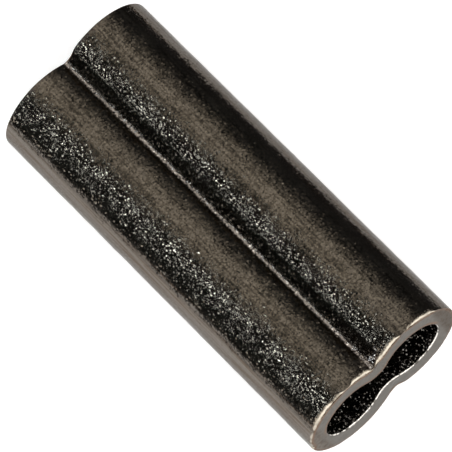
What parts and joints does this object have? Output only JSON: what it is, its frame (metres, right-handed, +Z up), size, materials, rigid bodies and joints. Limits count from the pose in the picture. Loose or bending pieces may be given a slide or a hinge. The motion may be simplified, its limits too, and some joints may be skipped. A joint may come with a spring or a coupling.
{
  "type": "double-barrel crimp sleeve",
  "caption": "Small dark plated crimp sleeve: two short tubes drawn side by side in one piece, to lock a loop in thin wire rope or fishing leader.",
  "frame": {"origin": "middle of the sleeve's length and width, at the level of the surface that its two barrels rest on", "axes": "+X along the barrels, +Y across them from one barrel to the other, +Z up through the valley between them"},
  "size_m": [0.0104, 0.0044, 0.0026],
  "materials": {
    "black_nickel_plate": "satin"
  },
  "bodies": {
    "root": {"sleeve": "black_nickel_plate"}
  },
  "joints": []
}
